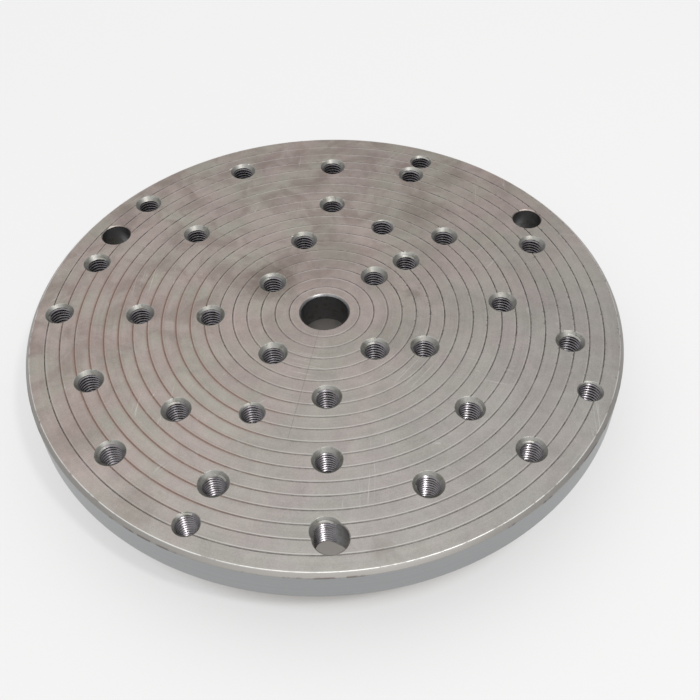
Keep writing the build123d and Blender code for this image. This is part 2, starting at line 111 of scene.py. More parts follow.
class BaseSettings(bpy.types.PropertyGroup):
    """Sizes and colours of what stands under the plate."""

    edge: bpy.props.FloatProperty(
        name="Cast edge", description="Rounding of the casting's edges", default=0.0009, unit="LENGTH"
    )
    small_edge: bpy.props.FloatProperty(
        name="Turned edge", description="Rounding of turned and moulded edges", default=0.0003, unit="LENGTH"
    )
    knob_radius: bpy.props.FloatProperty(
        name="Knob", description="Radius of the star knob over its lobes", default=0.011, unit="LENGTH"
    )
    paint_colour: bpy.props.FloatVectorProperty(
        name="Paint", description="Colour of the painted casting",
        default=(0.15, 0.175, 0.19), subtype="COLOR",
    )
    knob_colour: bpy.props.FloatVectorProperty(
        name="Knob", description="Colour of the moulded knob", default=(0.02, 0.02, 0.022), subtype="COLOR"
    )


class StageSettings(bpy.types.PropertyGroup):
    """Camera, floor and lamps."""

    lens: bpy.props.FloatProperty(
        name="Lens", description="Focal length of the camera", default=48.42, unit="CAMERA"
    )
    camera_place: bpy.props.FloatVectorProperty(
        name="Camera", description="Place of the camera, from the middle of the table's face",
        default=(0.0, -0.28132, 0.28628), subtype="TRANSLATION",
    )
    camera_aim: bpy.props.FloatVectorProperty(
        name="Aim", description="Point that the camera looks at, from the middle of the table's face",
        default=(0.009552, -0.022916, 0.0), subtype="TRANSLATION",
    )
    camera_roll: bpy.props.FloatProperty(
        name="Roll", description="Turn of the camera about its line of sight",
        default=math.radians(-1.593), subtype="ANGLE",
    )
    floor_colour: bpy.props.FloatVectorProperty(
        name="Floor", description="Colour of the floor", default=(0.22, 0.22, 0.22), subtype="COLOR"
    )
    floor_glow: bpy.props.FloatProperty(
        name="Floor glow", description="Light of the lit floor itself", default=0.505
    )
    room_light: bpy.props.FloatProperty(
        name="Room light", description="Even light from the sides", default=0.42
    )
    ceiling_light: bpy.props.FloatProperty(
        name="Ceiling light", description="Extra light from above", default=1.5
    )
    front_light: bpy.props.FloatProperty(
        name="Front light", description="Extra light from the front", default=0.45
    )
    left_light: bpy.props.FloatProperty(
        name="Left light", description="Extra light from the left", default=0.62
    )
    key_power: bpy.props.FloatProperty(
        name="Key lamp", description="Power of the lamp", default=9.0, unit="POWER"
    )


# ---------------------------------------------------------------- meshes
def linked(name, mesh):
    piece = bpy.data.objects.new(name, mesh)
    bpy.context.scene.collection.objects.link(piece)
    return piece


def mesh_in_mm(name, points, faces):
    mesh = bpy.data.meshes.new(name)
    mesh.from_pydata((np.asarray(points, float) * MM).tolist(), [], faces)
    mesh.validate()
    return mesh


def revolve(section, steps, centre=(0.0, 0.0), first=0):
    """Points and faces of a solid turned about an upright axis, from its half section.

    The section runs anticlockwise. One that starts and ends at radius 0 is solid, and any other is a ring.
    """
    turn = np.arange(steps) * 2 * math.pi / steps
    around = np.stack([np.cos(turn), np.sin(turn)], 1)
    points, rows = [], []
    for radius, height in section:
        start = first + len(points)
        if radius == 0:
            rows.append([start] * steps)
            points.append((centre[0], centre[1], height))
        else:
            rows.append(list(range(start, start + steps)))
            points += [(centre[0] + radius * c, centre[1] + radius * s, height) for c, s in around]
    pairs = list(zip(rows, rows[1:]))
    if section[0][0] > 0:
        pairs.append((rows[-1], rows[0]))
    faces = []
    for low, high in pairs:
        for i in range(steps):
            j = (i + 1) % steps
            faces.append(list(dict.fromkeys((low[i], low[j], high[j], high[i]))))
    return points, faces


def tap(centre, low, turns, minor, major, pitch, steps, first=0):
    """Points and faces of a threaded core, for cutting one tapped hole."""
    flank = (major - minor) * math.tan(math.radians(30))
    crest = pitch / 8
    corners = ((0.0, minor), (flank, major), (flank + crest, major), (2 * flank + crest, minor))
    levels = [(pitch * k + offset, radius) for k in range(turns) for offset, radius in corners]
    levels.append((pitch * turns, minor))
    rows = len(levels)
    points = []
    for i in range(steps):
        c, s = math.cos(2 * math.pi * i / steps), math.sin(2 * math.pi * i / steps)
        lift = low + pitch * i / steps
        points += [(centre[0] + r * c, centre[1] + r * s, lift + z) for z, r in levels]
    faces = []
    for i in range(steps):
        here, there = i * rows, (i + 1) % steps * rows
        shift = 0 if i + 1 < steps else len(corners)
        for m in range(rows - 1 - shift):
            faces.append([here + m, there + m + shift, there + m + shift + 1, here + m + 1])
    last = (steps - 1) * rows
    foot = [i * rows for i in range(steps)] + list(range(len(corners), 0, -1))
    head = [i * rows + rows - 1 for i in range(steps)]
    head += [last + rows - 1 - k for k in range(1, len(corners) + 1)]
    for loop, level, upward in ((foot, low, False), (head, low + pitch * (turns + 1), True)):
        middle = len(points)
        points.append((centre[0], centre[1], level))
        for a, b in zip(loop, loop[1:] + loop[:1]):
            faces.append([middle, a, b] if upward else [middle, b, a])
    return points, [[first + v for v in face] for face in faces]


def eased(corners):
    """A section from corners of (radius, height, ease), each rounded off by its ease in two facets."""
    section = []
    for i, (radius, height, ease) in enumerate(corners):
        here = Vector((radius, height))
        ways = [Vector(corners[j][:2]) - here for j in (i - 1, (i + 1) % len(corners))]
        ease = min(ease, *(0.45 * way.length for way in ways))
        if ease <= 0:
            section.append((radius, height))
            continue
        back, on = [way.normalized() * ease for way in ways]
        section += [tuple(here + back), tuple(here + (back + on) * 0.28), tuple(here + on)]
    return section


def gathered(name, solids):
    """One mesh object from several (points, faces) makers, each called with its first point's number."""
    points, faces = [], []
    for make in solids:
        more, sides = make(len(points))
        points += more
        faces += sides
    return linked(name, mesh_in_mm(name, points, faces))


def cut(piece, tool, operation="DIFFERENCE"):
    """Takes the tool's solids out of the piece, or joins them to it."""
    change = piece.modifiers.new("cut", "BOOLEAN")
    change.operation = operation
    change.solver = "MANIFOLD"
    change.object = tool
    settle(piece)
    bpy.data.objects.remove(tool)


def settle(piece):
    """Applies the piece's modifiers."""
    seen = bpy.context.evaluated_depsgraph_get()
    mesh = bpy.data.meshes.new_from_object(piece.evaluated_get(seen), depsgraph=seen)
    mesh.name = piece.name
    old = piece.data
    piece.modifiers.clear()
    piece.data = mesh
    bpy.data.meshes.remove(old)
    if not len(mesh.polygons):
        raise RuntimeError(f"{piece.name} came out empty")


def shade(piece, angle=30.0):
    """Smooth shading with crisp edges, the large faces kept flat."""
    piece.data.shade_smooth()
    piece.data.set_sharp_from_angle(angle=math.radians(angle))
    flat = piece.modifiers.new("flat faces", "WEIGHTED_NORMAL")
    flat.keep_sharp = True
    settle(piece)


def rings_at(node, level):
    """Centre and radius, in mm, of each whole or broken circle of a node's points at a level."""
    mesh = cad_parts[node].data
    points = np.empty(len(mesh.vertices) * 3)
    mesh.vertices.foreach_get("co", points)
    points = points.reshape(-1, 3) / MM
    points = np.unique(points[np.abs(points[:, 2] - level) < 0.004][:, :2].round(3), axis=0)
    found = []
    reach = 2.6
    while len(points):
        group = np.zeros(len(points), bool)
        group[0] = True
        front = points[:1]
        while len(front):
            near = (np.hypot(*(points[:, None] - front[None]).transpose(2, 0, 1)) < reach).any(1) & ~group
            group |= near
            front = points[near]
        ring, points = points[group], points[~group]
        if len(ring) > 5:
            known = np.c_[2 * ring, np.ones(len(ring))]
            x, y, rest = np.linalg.lstsq(known, (ring**2).sum(1), rcond=None)[0]
            found.append((x, y, math.sqrt(rest + x * x + y * y)))
    return found


# ---------------------------------------------------------------- materials
class Wire:
    """A node's output that can be used in sums. Each sum adds its Math node."""

    def __init__(self, board, socket):
        self.board = board
        self.socket = socket

    def sum(self, operation, *terms):
        return self.board.node("Math", {"operation": operation}, dict(enumerate(terms)))

    def __add__(self, other):
        return self.sum("ADD", self, other)

    def __sub__(self, other):
        return self.sum("SUBTRACT", self, other)

    def __rsub__(self, other):
        return self.sum("SUBTRACT", other, self)

    def __mul__(self, other):
        return self.sum("MULTIPLY", self, other)

    def __truediv__(self, other):
        return self.sum("DIVIDE", self, other)

    def __rtruediv__(self, other):
        return self.sum("DIVIDE", other, self)

    def __pow__(self, other):
        return self.sum("POWER", self, other)

    def __abs__(self):
        return self.sum("ABSOLUTE", self)

    def __mod__(self, other):
        return self.sum("FLOORED_MODULO", self, other)

    __radd__ = __add__
    __rmul__ = __mul__


class Board:
    """The node tree of a material, measured in millimetres, or of a world."""

    def __init__(self, owner):
        self.owner = bpy.data.materials.new(owner) if isinstance(owner, str) else owner
        self.owner.use_nodes = True
        self.tree = self.owner.node_tree
        self.tree.nodes.clear()
        place = self.node("TexCoord", output="Object")
        self.place = self.vector("SCALE", place, Scale=1 / MM)
        self.x = self.node("SeparateXYZ", {}, {0: self.place}, 0)
        self.y = self.node("SeparateXYZ", {}, {0: self.place}, 1)
        self.z = self.node("SeparateXYZ", {}, {0: self.place}, 2)
        self.flat = self.vector("MULTIPLY", self.place, (1.0, 1.0, 0.0))

    def node(self, kind, settings=(), sockets=(), output=0):
        made = self.tree.nodes.new("ShaderNode" + kind)
        for key, value in dict(settings).items():
            if key == "stops":
                self.set_stops(made.color_ramp, value)
            else:
                setattr(made, key, value)
        for key, value in dict(sockets).items():
            if isinstance(value, Wire):
                self.tree.links.new(value.socket, made.inputs[key])
            else:
                made.inputs[key].default_value = value
        return None if output is None else Wire(self, made.outputs[output])

    @staticmethod
    def set_stops(ramp, stops):
        while len(ramp.elements) < len(stops):
            ramp.elements.new(1.0)
        for element, (position, colour) in zip(ramp.elements, stops):
            element.position = position
            element.color = (*colour, 1.0)

    def vector(self, operation, a, b=None, **named):
        sockets = {0: a, **named} if b is None else {0: a, 1: b, **named}
        output = "Value" if operation in ("LENGTH", "DISTANCE", "DOT_PRODUCT") else "Vector"
        return self.node("VectorMath", {"operation": operation}, sockets, output)

    def joined(self, x, y, z):
        return self.node("CombineXYZ", {}, {0: x, 1: y, 2: z})

    def fade(self, value, start, end):
        """0 before start and 1 after end, or the other way round where start is above end."""
        low, high = min(start, end), max(start, end)
        ends = {"From Min": low, "From Max": high, "To Min": 0.0, "To Max": 1.0}
        if start > end:
            ends.update({"To Min": 1.0, "To Max": 0.0})
        return self.node("MapRange", {"interpolation_type": "SMOOTHSTEP"}, {"Value": value, **ends})

    def noise(self, scale, vector=None, detail=3.0, roughness=0.55, distortion=0.0):
        """Noise from 0 to 1. The scale is in bumps per millimetre."""
        sockets = {"Vector": vector or self.place, "Scale": scale, "Detail": detail}
        sockets.update({"Roughness": roughness, "Distortion": distortion})
        return self.node("TexNoise", {}, sockets)

    def mix(self, factor, a, b, mode="MIX"):
        a, b = [c if isinstance(c, Wire) else (*c, 1.0)[:4] for c in (a, b)]
        settings = {"data_type": "RGBA", "blend_type": mode}
        return self.node("Mix", settings, {0: factor, 6: a, 7: b}, 2)

    def shaded(self, colour, amount):
        """The colour times a number."""
        return self.vector("SCALE", colour, Scale=amount)

    def bump(self, height, distance, normal=None):
        sockets = {"Strength": 1.0, "Distance": distance * MM, "Height": height}
        if normal:
            sockets["Normal"] = normal
        return self.node("Bump", {}, sockets)

    def finish(self, **sockets):
        sockets = {key.replace("_", " "): value for key, value in sockets.items()}
        colour = sockets.get("Base Color")
        if colour is not None and not isinstance(colour, Wire):
            sockets["Base Color"] = (*colour, 1.0)
        self.node("OutputMaterial", {}, {"Surface": self.node("BsdfPrincipled", {}, sockets)}, None)
        return self.owner


def spot(board, x, y, radius, soft, rough=0.0):
    """A mask round a point of the face, 1 inside, with a soft and perhaps uneven edge."""
    away = board.vector("DISTANCE", board.flat, (x, y, 0.0))
    if rough:
        away = away + (board.noise(0.35, detail=4.0) - 0.5) * rough
    return board.fade(away, radius + soft, radius - soft)


def sector(board, angle, middle, half, soft):
    """A mask of the directions within half of the middle, in radians."""
    away = abs((angle - middle + math.pi) % (2 * math.pi) - math.pi)
    return board.fade(away, half + soft, half - soft)


def scratches(board, angle, spacing, seed):
    """A few fine straight scratches at an angle, of uneven length."""
    turned = board.node(
        "VectorRotate",
        {"rotation_type": "Z_AXIS"},
        {"Vector": board.flat, "Angle": math.radians(angle)},
    )
    moved = board.vector("ADD", turned, (seed, 2.3 * seed, 0.0))
    wavy = board.vector("MULTIPLY", moved, (0.012, 1.0 / spacing, 1.0))
    lines = board.noise(1.0, wavy, detail=1.0)
    sharp = board.fade(abs(lines - 0.5), 0.006, 0.0)
    patchy = board.noise(0.02, moved, detail=2.0)
    return sharp * board.fade(patchy, 0.56, 0.66)


def plate_face(plate):
    """Ground and ringed steel, dulled, with oil, rust and small marks."""
    board = Board("ground_steel_face")
    face = tuple(plate.face_colour)
    radius = board.vector("LENGTH", board.flat)
    angle = board.node("Math", {"operation": "ARCTAN2"}, {0: board.y, 1: board.x})
    top = board.fade(board.z, TABLE_TOP - 0.9, TABLE_TOP - 0.6)
    cosine, sine = board.x / radius, board.y / radius

    # the turning tool's marks, finer and coarser
    fine = board.noise(1.0, board.joined(cosine * 1.5, sine * 1.5, radius * 5.0), detail=2.0)
    broad = board.noise(1.0, board.joined(cosine * 0.9, sine * 0.9, radius * 0.55), detail=2.0)
    grain = board.noise(2.2, detail=3.0, roughness=0.65)
    cloud = board.noise(0.03, detail=3.0)
    tint = board.noise(0.045, board.vector("ADD", board.place, (40.0, 15.0, 0.0)), detail=4.0)
    patches = board.noise(0.11, detail=5.0, roughness=0.62, distortion=0.6)
    value = 1.0 + (fine - 0.5) * 0.16 + (broad - 0.5) * 0.14 + (grain - 0.5) * 0.62 + (cloud - 0.5) * 0.34
    value = value + (patches - 0.5) * 0.42
    colour = board.mix(
        board.fade(tint, 0.38, 0.62),
        (face[0] * 1.04, face[1] * 0.98, face[2] * 1.0),
        (face[0] * 0.975, face[1] * 1.015, face[2] * 0.98),
    )
    brown = board.fade(board.y - board.x * 0.6, -30.0, 60.0)
    brown = brown * board.fade(board.noise(0.07, detail=5.0, roughness=0.6, distortion=0.8), 0.42, 0.66)
    colour = board.mix(brown * 0.46, colour, (0.17, 0.128, 0.115))
    neutral = board.fade(board.x * 0.7 - board.y, -30.0, 130.0)
    colour = board.mix(neutral * 0.6, colour, (face[1] * 1.04, face[1] * 1.03, face[1] * 0.99))
    colour = board.shaded(colour, value)

    # rings
    first, step = plate.ring_first / MM, plate.ring_step / MM
    beside = (radius - first + step / 2) % step - step / 2
    away = abs(beside)
    half = plate.ring_width / MM / 2
    band = board.fade(radius, first - 1.0, first - 0.9)
    outermost = first + step * (plate.ring_count - 1)
    band = band * board.fade(radius, outermost + 1.0, outermost + 0.9)
    groove = board.fade(away, half + 0.12, half - 0.06) * top * band
    blotch = board.noise(0.11, detail=4.0, roughness=0.6)
    rust = sector(board, angle, math.radians(202), math.radians(46), math.radians(16))
    rust = rust * board.fade(radius, 44.0, 56.0) * board.fade(radius, 116.0, 106.0)
    rust = rust * board.fade(blotch, 0.34, 0.46)
    lee = board.fade(beside, -0.12, 0.14)
    dirt = 0.15 + board.fade(blotch, 0.38, 0.62) * 0.3
    dirt = dirt + board.fade(board.noise(0.5, detail=3.0), 0.4, 0.66) * 0.3
    # back and front sectors, where the rings carry painted sheen: less grime in the back, a lighter lip in
    # both
    back_sheen = sector(board, angle, math.radians(88), math.radians(34), math.radians(26))
    front_sheen = sector(board, angle, math.radians(276), math.radians(30), math.radians(24))
    dirt = dirt * (1.0 - back_sheen * 0.45)
    colour = board.mix(groove * dirt * (0.4 + lee * 1.1), colour, tuple(plate.grime_colour))
    rusty = board.fade(away, half + 0.5, half) * top * band * rust
    colour = board.mix(rusty * 0.7, colour, tuple(plate.rust_colour))
    bleed = board.fade(away, 1.7, 0.1) * rust * top
    colour = board.mix(bleed * 0.34, colour, (0.20, 0.14, 0.115))

    # a lighter line inside the lip of each ring: wear all round, and painted highlight in the back and front
    # sectors
    worn = board.fade(abs(beside + half + 0.28), 0.26, 0.05) * top * band
    colour = board.mix(worn * (0.14 + back_sheen * 0.28 + front_sheen * 0.34), colour, (0.52, 0.51, 0.49))

    # specks in the rings on the right
    specks = sector(board, angle, math.radians(8), math.radians(34), math.radians(14))
    specks = specks * board.fade(board.noise(0.9, detail=2.0), 0.60, 0.66)
    specks = specks * board.fade(away, 1.0, 0.3) * board.fade(radius, 26.0, 34.0) * top
    colour = board.mix(specks * 0.7, colour, (0.08, 0.07, 0.06))

    # stains, smudges and scratches
    marks = [
        (35.7, 54.0, 7.0, 0.6, 0.0, 0.10), (35.7, 54.0, 6.0, 0.6, 0.0, -0.10),
        (39.0, 8.0, 2.6, 2.4, 9.0, 0.42), (0.0, 52.0, 6.0, 5.0, 14.0, 0.20),
        (4.0, 38.0, 12.0, 8.0, 16.0, 0.22), (0.0, 88.0, 6.0, 5.0, 16.0, 0.20),
        (-22.5, 20.5, 10.5, 4.0, 9.0, 0.60), (22.8, 20.3, 8.0, 3.0, 6.0, 0.16),
        (-15.0, 34.0, 7.0, 5.0, 12.0, 0.40), (48.0, 62.0, 8.0, 6.0, 18.0, 0.22),
        (62.0, 86.0, 5.0, 4.0, 16.0, 0.26), (-8.0, 108.0, 7.0, 5.0, 16.0, 0.18),
        (28.0, -14.0, 9.0, 5.0, 12.0, 0.14), (-100.0, -62.0, 9.0, 7.0, 16.0, 0.26),
        (-72.0, -94.0, 8.0, 6.0, 16.0, 0.26), (16.0, -116.0, 4.0, 3.0, 10.0, 0.24),
    ]
    for x, y, size, soft, rough, strength in marks:
        mask = spot(board, x, y, size, soft, rough) * top * abs(strength)
        colour = board.mix(mask, colour, (0.12, 0.095, 0.08) if strength > 0 else face)
    course = math.radians(256)
    line = board.vector("DOT_PRODUCT", board.flat, (math.sin(course), -math.cos(course), 0.0))
    along = board.vector("DOT_PRODUCT", board.flat, (math.cos(course), math.sin(course), 0.0))
    scribed = board.fade(abs(line), 0.22, 0.08)
    scribed = scribed * board.fade(along, 9.0, 11.0) * board.fade(along, 70.0, 67.0) * top
    colour = board.mix(scribed * 0.35, colour, (0.12, 0.11, 0.10))
    scores = scratches(board, 20, 2.2, 3.0) + scratches(board, -48, 2.6, 11.0)
    scores = scores + scratches(board, 97, 2.9, 23.0)
    scores = board.fade(scores, 0.0, 1.0) * top
    colour = board.mix(scores * 0.2, colour, (0.62, 0.61, 0.60))

    # the rim and the bevel are turned, and the underside is only faced
    lines = board.noise(1.0, board.joined(cosine * 1.2, sine * 1.2, board.z * 4.0), detail=3.0)
    rim = board.shaded(tuple(plate.rim_colour), 0.78 + lines * 0.3 + cloud * 0.14)
    side = board.fade(radius, TABLE_RADIUS - 1.5, TABLE_RADIUS - 1.3)
    colour = board.mix(side, colour, rim)
    bevel = side * board.fade(board.z, TABLE_TOP - 1.75, TABLE_TOP - 1.6)
    colour = board.mix(bevel * 0.7, colour, (face[0] * 1.3, face[1] * 1.36, face[2] * 1.36))
    # painted highlight along the crest of the bevel, patchy like edge wear
    crest = board.fade(abs(radius - TABLE_RADIUS + 1.62), 0.3, 0.1) * board.fade(patches, 0.34, 0.5)
    colour = board.mix(crest * top * 0.6, colour, (0.62, 0.62, 0.60))
    # painted shade: a dark green band along the rim's lower edge
    foot = side * board.fade(board.z, TABLE_UNDER + 0.9, TABLE_UNDER + 0.5)
    colour = board.mix(foot * 0.85, colour, (0.04, 0.06, 0.05))
    dent = side * board.fade(abs(board.z - TABLE_TOP + 1.6), 0.5, 0.1) * board.fade(patches, 0.52, 0.62)
    colour = board.mix(dent * 0.6, colour, (0.10, 0.07, 0.06))

    height = (fine - 0.5) * 0.5 + (broad - 0.5) * 0.35 + (grain - 0.5) * 0.8
    height = height * (1 - side) + (lines - 0.5) * side * 1.3 - scores * 0.6 - scribed * 0.8
    rough = 0.52 + (grain - 0.5) * 0.2 + (cloud - 0.5) * 0.16 + groove * 0.18 - side * 0.08
    metal = 1.0 - rusty * 0.7 - groove * 0.2
    return board.finish(
        Base_Color=colour, Metallic=metal, Roughness=rough, Normal=board.bump(height, 0.012)
    )


def bored_steel(name, colour, roughness, streaks):
    """Steel inside a hole: darker, as painted shade in the hole, oily, with streaks along the bore."""
    board = Board(name)
    soil = board.noise(0.4, detail=4.0)
    fine = board.noise(1.0, board.vector("MULTIPLY", board.place, (3.0, 3.0, streaks)), detail=3.0)
    shade_of = 0.7 + soil * 0.35 + fine * 0.25
    soiled = [c * 0.5 for c in colour[:2]] + [colour[2] * 0.42]
    tone = board.shaded(board.mix(board.fade(soil, 0.48, 0.66) * 0.6, colour, soiled), shade_of)
    return board.finish(
        Base_Color=tone,
        Metallic=0.95,
        Roughness=roughness + (fine - 0.5) * 0.2,
        Normal=board.bump(fine, 0.01),
    )


def turned_steel(name, colour, roughness, ripple=3.0, grain_size=2.0):
    """Turned steel: fine rings about the table's axis and a little staining."""
    board = Board(name)
    radius = board.vector("LENGTH", board.flat)
    rings = board.noise(1.0, board.joined(radius * ripple, board.z * ripple, 0.0), detail=2.0)
    grain = board.noise(grain_size, detail=3.0)
    cloud = board.noise(0.08, detail=3.0)
    amount = 0.8 + rings * 0.18 + grain * 0.1 + cloud * 0.14
    tone = board.shaded(board.mix(cloud * 0.3, colour, [c * 0.75 for c in colour]), amount)
    return board.finish(
        Base_Color=tone,
        Metallic=1.0,
        Roughness=roughness + (grain - 0.5) * 0.12 + (cloud - 0.5) * 0.1,
        Normal=board.bump(rings * 0.7 + grain * 0.3, 0.006),
    )


def painted_iron(base):
    """Hammered machine paint over a casting, with bare machined faces below and small chips in the paint."""
    board = Board("painted_iron")
    paint = tuple(base.paint_colour)
    orange_peel = board.noise(0.55, detail=2.0)
    grit = board.noise(2.4, detail=3.0)
    cloud = board.noise(0.05, detail=3.0)
    tone = board.mix(board.fade(cloud, 0.3, 0.7), paint, [c * 0.86 for c in paint])
    tone = board.shaded(tone, 0.92 + grit * 0.16)
    chips = board.fade(board.noise(0.5, detail=5.0, roughness=0.7), 0.69, 0.71)
    bare = board.fade(board.z, 0.12, 0.04)
    around = board.vector("LENGTH", board.flat)
    lathe = board.noise(1.0, board.joined(around * 2.2, board.x * 0.01, 0.0), detail=3.0)
    steel = board.shaded((0.42, 0.42, 0.41), 0.62 + grit * 0.3 + lathe * 0.36)
    open_metal = 1 - (1 - bare) * (1 - chips * 0.6)
    tone = board.mix(open_metal, tone, steel)
    return board.finish(
        Base_Color=tone,
        Metallic=open_metal * 0.9,
        Roughness=0.42 + (grit - 0.5) * 0.2 + open_metal * 0.06,
        Normal=board.bump(orange_peel * (1 - bare) + grit * 0.25 + lathe * bare * 0.3, 0.09),
    )


def dull(name, colour, roughness, size, depth, metallic=0.0, mottle=0.25):
    """A finely grained finish, for rubber, fibre, moulded plastic and black oxide."""
    board = Board(name)
    grain = board.noise(size, detail=3.0)
    cloud = board.noise(size / 12, detail=3.0)
    tone = board.mix(cloud, [c * (1 - mottle) for c in colour], [c * (1 + mottle) for c in colour])
    tone = board.shaded(tone, 0.9 + grain * 0.2)
    return board.finish(
        Base_Color=tone,
        Metallic=metallic,
        Roughness=roughness + (grain - 0.5) * 0.16 + (cloud - 0.5) * 0.12,
        Normal=board.bump(grain, depth),
    )


def painted(node, material):
    """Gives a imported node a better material."""
    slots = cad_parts[node].material_slots
    if not len(slots):
        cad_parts[node].data.materials.append(material)
    for slot in slots:
        slot.material = material


# ---------------------------------------------------------------- pieces
def plate_section(plate):
    """Half section of the plate: bore, turned rings, bevels with slightly rounded edges."""
    first, step, count = plate.ring_first / MM, plate.ring_step / MM, plate.ring_count
    half, depth = plate.ring_width / MM / 2, plate.ring_depth / MM
    top, under, rim = TABLE_TOP, TABLE_UNDER, TABLE_RADIUS
    bore, mouth, bevel, foot = 10.0, 0.9, 1.6, 0.8
    corners = [(bore, under, 0.3), (rim - foot, under, 0.15), (rim, under + foot, 0.2)]
    corners += [(rim, top - bevel, 0.25), (rim - bevel, top, 0.2)]
    for i in reversed(range(count)):
        middle = first + i * step
        corners += [(middle + half, top, 0.0), (middle, top - depth, 0.0), (middle - half, top, 0.0)]
    corners += [(bore + mouth, top, 0.15), (bore, top - mouth, 0.15)]
    return eased(corners)


def cone_cut(x, y, wide, narrow, level, upward):
    """The cutter for a hole's countersink, with a lip that is just broken."""
    lip = 0.12
    depth = wide - narrow
    sign = 1 if upward else -1
    section = [(0.0, -depth), (narrow, -depth), (wide - lip, -lip), (wide + 0.35 * lip, -0.25 * lip)]
    section += [(wide + 1.6 * lip, 0.05 * lip), (wide + 1.6 * lip, 1.0), (0.0, 1.0)]
    section = [(r, level + sign * z) for r, z in section]
    if not upward:
        section.reverse()
    return lambda first: revolve(section, 64, (x, y), first)


def drill_cut(x, y, radius, low, high, chamfer=0.0, top=None):
    section = [(0.0, low), (radius, low), (radius, high), (0.0, high)]
    if chamfer:
        mouth = radius + chamfer + 0.1
        section[2:3] = [(radius, top - chamfer), (mouth, top + 0.1), (mouth, high)]
    return lambda first: revolve(section, 64, (x, y), first)


class TABLE_OT_plate(bpy.types.Operator):
    """Builds the ringed plate with its tapped holes"""

    bl_idname = "rotary_table.plate"
    bl_label = "Table plate"

    def execute(self, context):
        plate = context.scene.plate_settings
        over = 1.0
        points, faces = revolve(plate_section(plate), 456)
        piece = linked("ringed_plate", mesh_in_mm("ringed_plate", points, faces))
        deep = [ring for ring in rings_at("table_plate", TABLE_TOP - 1.75) if ring[2] < 5]
        shallow = [ring for ring in rings_at("table_plate", TABLE_TOP - 0.95) if ring[2] < 5]
        plain = [ring for ring in rings_at("table_plate", TABLE_TOP - 0.4) if 5 < ring[2] < 8]
        blind = [ring for ring in rings_at("table_plate", TABLE_UNDER) if ring[2] < 4]
        if (len(deep), len(shallow), len(plain)) != (31, 5, 3):
            raise RuntimeError("the plate's holes weren't found in the packed model")
        major, pitch = plate.thread_major / MM, plate.thread_pitch / MM
        tapped = deep + shallow
        minor = sum(ring[2] for ring in tapped) / len(tapped)
        low = TABLE_UNDER - over - pitch
        turns = math.ceil((TABLE_TOP + over - low) / pitch)
        taps = []
        for k, (x, y, _) in enumerate(tapped):
            lift = pitch * (0.381966 * k % 1)
            taps.append(
                lambda first, x=x, y=y, lift=lift: tap(
                    (x, y), low + lift, turns, minor, major, pitch, 32, first
                )
            )
        cut(piece, gathered("taps", taps))
        mouths = [cone_cut(x, y, 6.0, minor - 0.3, TABLE_TOP, True) for x, y, _ in deep]
        mouths += [cone_cut(x, y, 5.2, minor - 0.3, TABLE_TOP, True) for x, y, _ in shallow]
        mouths += [cone_cut(x, y, 5.2, minor - 0.3, TABLE_UNDER, False) for x, y, _ in tapped]
        cut(piece, gathered("mouths", mouths))
        drills = [
            drill_cut(x, y, r, TABLE_UNDER - over, TABLE_TOP + over, 0.4, TABLE_TOP) for x, y, r in plain
        ]
        drills += [drill_cut(x, y, r, TABLE_UNDER - over, TABLE_UNDER + 10.5) for x, y, r in blind]
        cut(piece, gathered("drills", drills))
        steel = plate_face(plate)
        # the thread and bore colours are kept dark as painted shade inside the holes, with oil on the threads
        threads = bored_steel("oiled_thread", (0.115, 0.108, 0.116), 0.27, 0.4)
        mouth = bored_steel("countersink_steel", (0.235, 0.23, 0.215), 0.48, 2.0)
        bore = bored_steel("bored_hole", (0.20, 0.20, 0.205), 0.36, 0.6)
        shade(piece)
        piece.data.materials.clear()
        for material in (steel, threads, mouth, bore):
            piece.data.materials.append(material)
        cones = [(x, y, 6.0) for x, y, _ in deep] + [(x, y, 5.2) for x, y, _ in shallow]
        self.sort_faces(piece, cones, plain)
        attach(piece, "table")
        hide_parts("table_plate")
        return {"FINISHED"}

    @staticmethod
    def sort_faces(piece, mouths, plain):
        """Gives threads, mouths and bores their own materials, by where each face lies."""
        mesh = piece.data
        count = len(mesh.polygons)
        middles, normals = np.empty(count * 3), np.empty(count * 3)
        mesh.polygons.foreach_get("center", middles)
        mesh.polygons.foreach_get("normal", normals)
        middles, normals = middles.reshape(-1, 3) / MM, normals.reshape(-1, 3)
        kind = np.zeros(count, int)
        radius = np.hypot(middles[:, 0], middles[:, 1])
        inside = (middles[:, 2] < TABLE_TOP - 0.02) & (middles[:, 2] > TABLE_UNDER + 0.02)
        for x, y, wide in mouths:
            away = np.hypot(middles[:, 0] - x, middles[:, 1] - y)
            kind[(away < 5.1) & inside] = 1
            inward = (middles[:, 0] - x) * normals[:, 0] + (middles[:, 1] - y) * normals[:, 1] < -0.2 * away
            deep = np.minimum(TABLE_TOP - middles[:, 2], middles[:, 2] - TABLE_UNDER + wide - 5.2)
            slant = inward & (np.abs(normals[:, 2]) > 0.3) & (np.abs(away + deep - wide) < 0.09)
            lip = inward & (np.abs(away - wide) < 0.3) & (middles[:, 2] > TABLE_TOP - 0.2)
            kind[slant | lip] = 2
        for x, y, size in plain:
            away = np.hypot(middles[:, 0] - x, middles[:, 1] - y)
            kind[(np.abs(away - size) < 0.08) & inside] = 3
        kind[(radius < 10.6) & inside] = 3
        mesh.polygons.foreach_set("material_index", kind)
        mesh.update()


def along_radius(angle, level):
    """From upright at the origin to lying along a radius of the table, its top outwards, in metres."""
    turn = Matrix.Rotation(math.radians(angle), 4, "Z") @ Matrix.Rotation(math.radians(90), 4, "Y")
    return Matrix.Translation((0, 0, level * MM)) @ turn


def lying(name, solids, angle, level):
    piece = gathered(name, solids)
    piece.data.transform(along_radius(angle, level))
    return piece


def turned(*corners, steps=64):
    return lambda first: revolve(eased(corners), steps, (0.0, 0.0), first)


def drilled(name, radius, start, end, angle, level):
    outline = ((0, start, 0), (radius, start, 0), (radius, end, 0), (0, end, 0))
    return lying(name, [turned(*outline)], angle, level)


